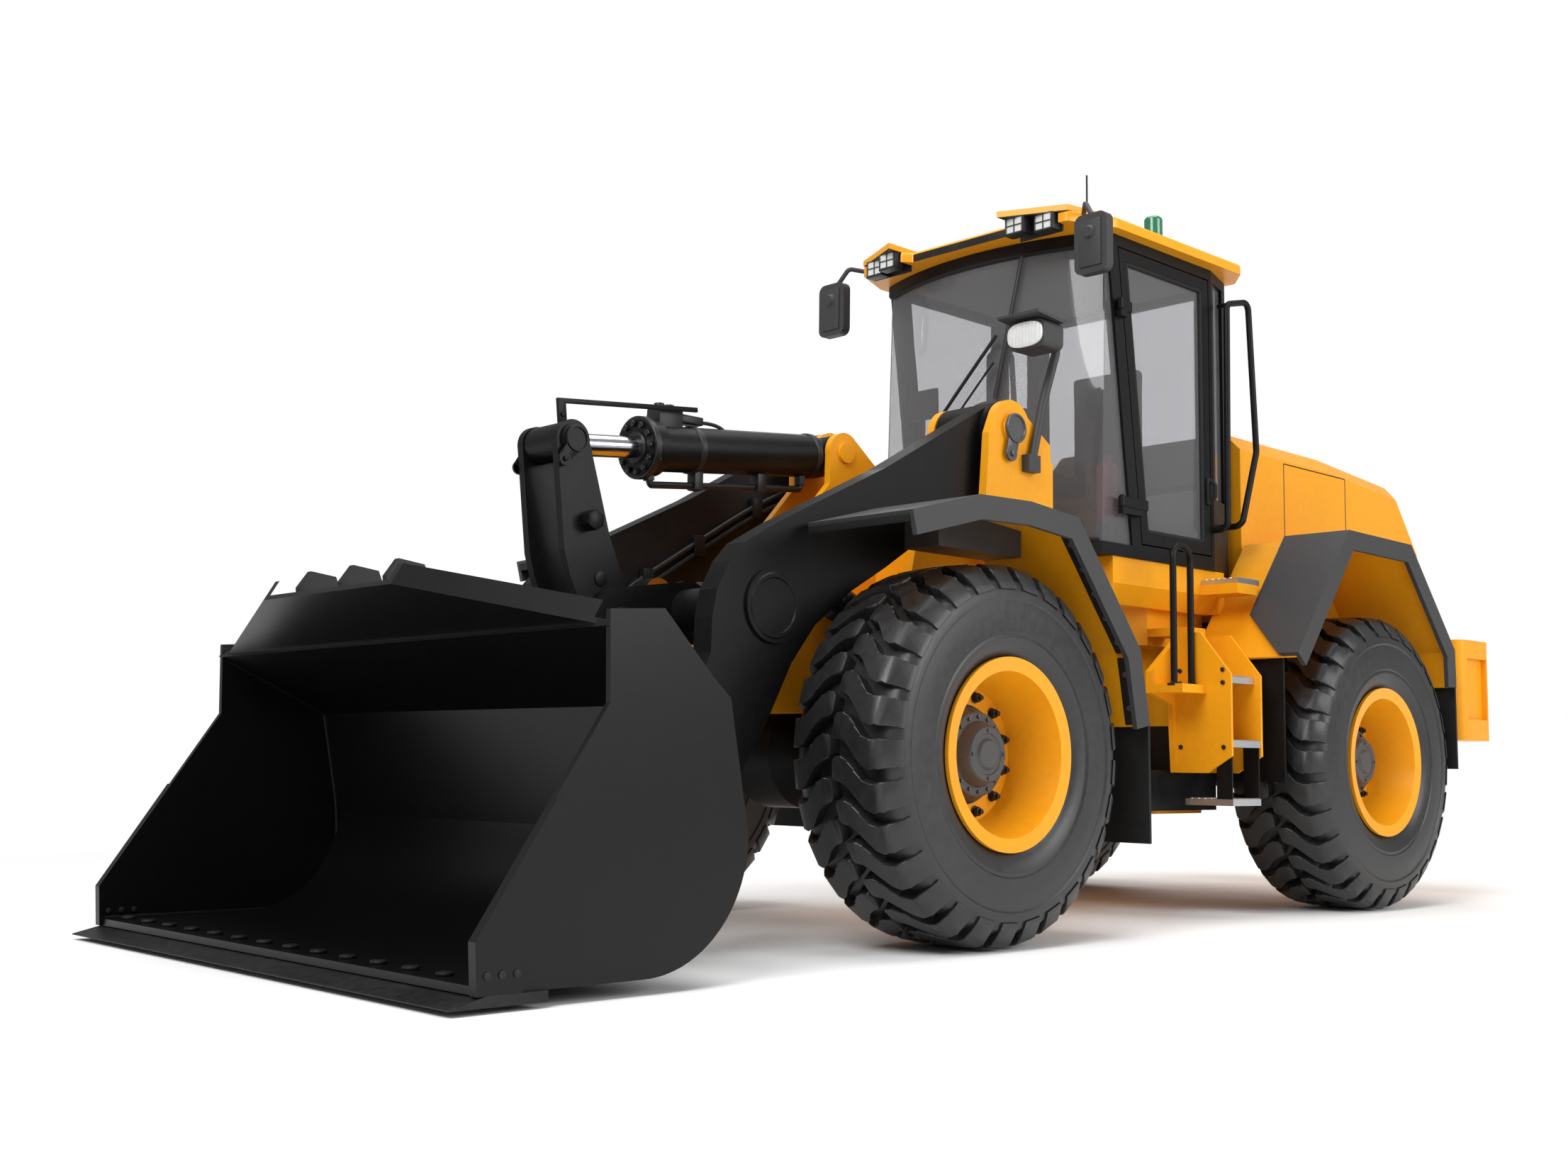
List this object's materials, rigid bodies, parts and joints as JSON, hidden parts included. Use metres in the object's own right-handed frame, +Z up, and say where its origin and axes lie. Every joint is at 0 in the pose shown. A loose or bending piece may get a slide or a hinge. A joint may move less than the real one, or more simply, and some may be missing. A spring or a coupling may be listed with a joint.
{
  "type": "wheel_loader",
  "caption": "Articulated wheel loader with a wide black bucket on a Z-bar linkage, glazed cab, angular fenders and lugged tyres",
  "frame": {"origin": "ground under the middle of the machine's length and width, bucket included", "axes": "+X forwards to the bucket, +Y to the left, +Z up"},
  "size_m": [7.37, 2.606, 3.5594],
  "materials": {
    "yellow_paint": "gloss",
    "black_paint": "satin",
    "fender_plastic": "textured",
    "flap_rubber": "matte",
    "tyre_rubber": "matte",
    "tinted_glass": "clear",
    "lamp_glass": "clear",
    "red_lens": "gloss",
    "green_lens": "gloss",
    "seat_cloth": "woven",
    "tread_aluminium": "brushed",
    "chrome_rod": "polished",
    "pin_steel": "satin",
    "edge_steel": "worn"
  },
  "bodies": {
    "rear_body": {"rear_frame": "yellow_paint", "rear_axle": "black_paint", "counterweight": "yellow_paint", "engine": "black_paint", "rear_fenders": "fender_plastic", "rear_flaps": "flap_rubber", "cab_frame": "black_paint", "cab_roof": "yellow_paint", "cab_glass": "tinted_glass", "seat": "seat_cloth", "console": "fender_plastic", "roof_lamps": "lamp_glass", "beacon": "green_lens", "mirrors": "fender_plastic", "ladders": "yellow_paint", "treads": "tread_aluminium", "handrails": "black_paint", "side_boxes": "black_paint", "antenna": "fender_plastic"},
    "bonnet_lid": {"bonnet": "yellow_paint", "grille": "fender_plastic", "rear_lamps": "red_lens"},
    "cab_door": {"door": "black_paint", "door_glass": "tinted_glass"},
    "front_body": {"front_frame": "yellow_paint", "front_axle": "black_paint", "front_fenders": "fender_plastic", "front_flaps": "flap_rubber", "headlamps": "fender_plastic"},
    "wheel_front_left": {"tyre_front_left": "tyre_rubber", "rim_front_left": "yellow_paint"},
    "wheel_front_right": {"tyre_front_right": "tyre_rubber", "rim_front_right": "yellow_paint"},
    "wheel_rear_left": {"tyre_rear_left": "tyre_rubber", "rim_rear_left": "yellow_paint"},
    "wheel_rear_right": {"tyre_rear_right": "tyre_rubber", "rim_rear_right": "yellow_paint"},
    "arms": {"loader_arms": "black_paint"},
    "crank_pivot": {"crank_pin": "pin_steel"},
    "crank": {"bell_crank": "black_paint"},
    "link_bar": {"link": "black_paint"},
    "tilt_cylinder": {"tilt_barrel": "black_paint"},
    "tilt_piston": {"tilt_rod": "chrome_rod"},
    "lift_cylinders": {"lift_barrels": "black_paint"},
    "lift_pistons": {"lift_rods": "chrome_rod"},
    "bucket_pivot": {"bucket_pins": "pin_steel"},
    "bucket_body": {"bucket": "black_paint", "cutting_edge": "edge_steel"},
    "steer_cylinder_left": {"steer_barrel_left": "black_paint"},
    "steer_cylinder_right": {"steer_barrel_right": "black_paint"},
    "steer_piston_left": {"steer_rod_left": "chrome_rod"},
    "steer_piston_right": {"steer_rod_right": "chrome_rod"}
  },
  "joints": [
    {"name": "steering", "type": "hinge", "parent": "rear_body", "child": "front_body", "pos_m": [-0.37, 0, 0.85], "axis": [0, 0, -1], "range_deg": [-40, 40]},
    {"name": "arm_lift", "type": "hinge", "parent": "front_body", "child": "arms", "pos_m": [0.535, 0, 2.165], "axis": [0, -1, 0], "range_deg": [0, 80]},
    {"name": "bucket_tilt", "type": "hinge", "parent": "bucket_pivot", "child": "bucket_body", "pos_m": [2.385, 0, 0.365], "axis": [0, 1, 0], "range_deg": [-36, 45]},
    {"name": "door_hinge", "type": "hinge", "parent": "rear_body", "child": "cab_door", "pos_m": [-0.313, 0.722, 2.4], "axis": [0, 0, -1], "range_deg": [0, 80]},
    {"name": "bonnet_hinge", "type": "hinge", "parent": "rear_body", "child": "bonnet_lid", "pos_m": [-3.545, 0, 1.5], "axis": [0, -1, 0], "range_deg": [0, 40]},
    {"name": "wheel_spin_front_left", "type": "hinge", "parent": "front_body", "child": "wheel_front_left", "pos_m": [1.145, 0.975, 0.745], "axis": [0, 1, 0], "continuous": true},
    {"name": "wheel_spin_front_right", "type": "hinge", "parent": "front_body", "child": "wheel_front_right", "pos_m": [1.145, -0.975, 0.745], "axis": [0, 1, 0], "continuous": true},
    {"name": "wheel_spin_rear_left", "type": "hinge", "parent": "rear_body", "child": "wheel_rear_left", "pos_m": [-1.885, 0.975, 0.745], "axis": [0, 1, 0], "continuous": true},
    {"name": "wheel_spin_rear_right", "type": "hinge", "parent": "rear_body", "child": "wheel_rear_right", "pos_m": [-1.885, -0.975, 0.745], "axis": [0, 1, 0], "continuous": true},
    {"name": "bucket_level", "type": "hinge", "parent": "arms", "child": "bucket_pivot", "pos_m": [2.385, 0, 0.365], "axis": [0, -1, 0], "range_deg": [-57, 1]},
    {"name": "crank_level", "type": "hinge", "parent": "arms", "child": "crank_pivot", "pos_m": [2.235, 0, 1.237], "axis": [0, -1, 0], "range_deg": [-1, 34.2]},
    {"name": "crank_tilt", "type": "hinge", "parent": "crank_pivot", "child": "crank", "pos_m": [2.235, 0, 1.237], "axis": [0, -1, 0], "range_deg": [-10, 12.25]},
    {"name": "link_swing", "type": "hinge", "parent": "crank", "child": "link_bar", "pos_m": [1.91, 0, 0.98], "axis": [0, -1, 0], "range_deg": [-44.44, 1]},
    {"name": "tilt_barrel_swing", "type": "hinge", "parent": "front_body", "child": "tilt_cylinder", "pos_m": [0.951, 0, 2.076], "axis": [0, -1, 0], "range_deg": [-1, 93.32]},
    {"name": "tilt_stroke", "type": "slide", "parent": "tilt_cylinder", "child": "tilt_piston", "axis": [0.9949, 0, -0.1006], "range_m": [-0.1334, 0.1077]},
    {"name": "lift_barrel_swing", "type": "hinge", "parent": "front_body", "child": "lift_cylinders", "pos_m": [0.195, 0, 0.9], "axis": [0, -1, 0], "range_deg": [-1, 39.32]},
    {"name": "lift_stroke", "type": "slide", "parent": "lift_cylinders", "child": "lift_pistons", "axis": [0.9308, 0, 0.3654], "range_m": [-0.005, 1.0641]},
    {"name": "steer_barrel_swing_left", "type": "hinge", "parent": "rear_body", "child": "steer_cylinder_left", "pos_m": [-1.025, 0.25, 0.8], "axis": [0, 0, -1], "range_deg": [-14.56, 14.56]},
    {"name": "steer_stroke_left", "type": "slide", "parent": "steer_cylinder_left", "child": "steer_piston_left", "axis": [0.9965, 0.0839, 0], "range_m": [-0.2126, 0.2126]},
    {"name": "steer_barrel_swing_right", "type": "hinge", "parent": "rear_body", "child": "steer_cylinder_right", "pos_m": [-1.025, -0.25, 0.8], "axis": [0, 0, -1], "range_deg": [-14.56, 14.56]},
    {"name": "steer_stroke_right", "type": "slide", "parent": "steer_cylinder_right", "child": "steer_piston_right", "axis": [0.9965, -0.0839, 0], "range_m": [-0.2126, 0.2126]}
  ],
  "couplings": [
    {"joint": "bucket_level", "follows": "arm_lift", "ratio": -0.7},
    {"joint": "crank_level", "follows": "arm_lift", "ratio": 0.415},
    {"joint": "crank_tilt", "follows": "bucket_tilt", "ratio": 0.25},
    {"joint": "link_swing", "follows": "arm_lift", "ratio": -0.543},
    {"joint": "tilt_barrel_swing", "follows": "arm_lift", "ratio": 1.154},
    {"joint": "tilt_stroke", "follows": "bucket_tilt", "m_per_rad": -0.1635},
    {"joint": "lift_barrel_swing", "follows": "arm_lift", "ratio": 0.479},
    {"joint": "lift_stroke", "follows": "arm_lift", "m_per_rad": 0.7585},
    {"joint": "steer_barrel_swing_left", "follows": "steering", "ratio": 0.339},
    {"joint": "steer_stroke_left", "follows": "steering", "m_per_rad": 0.2973},
    {"joint": "steer_barrel_swing_right", "follows": "steering", "ratio": 0.339},
    {"joint": "steer_stroke_right", "follows": "steering", "m_per_rad": -0.2973}
  ]
}
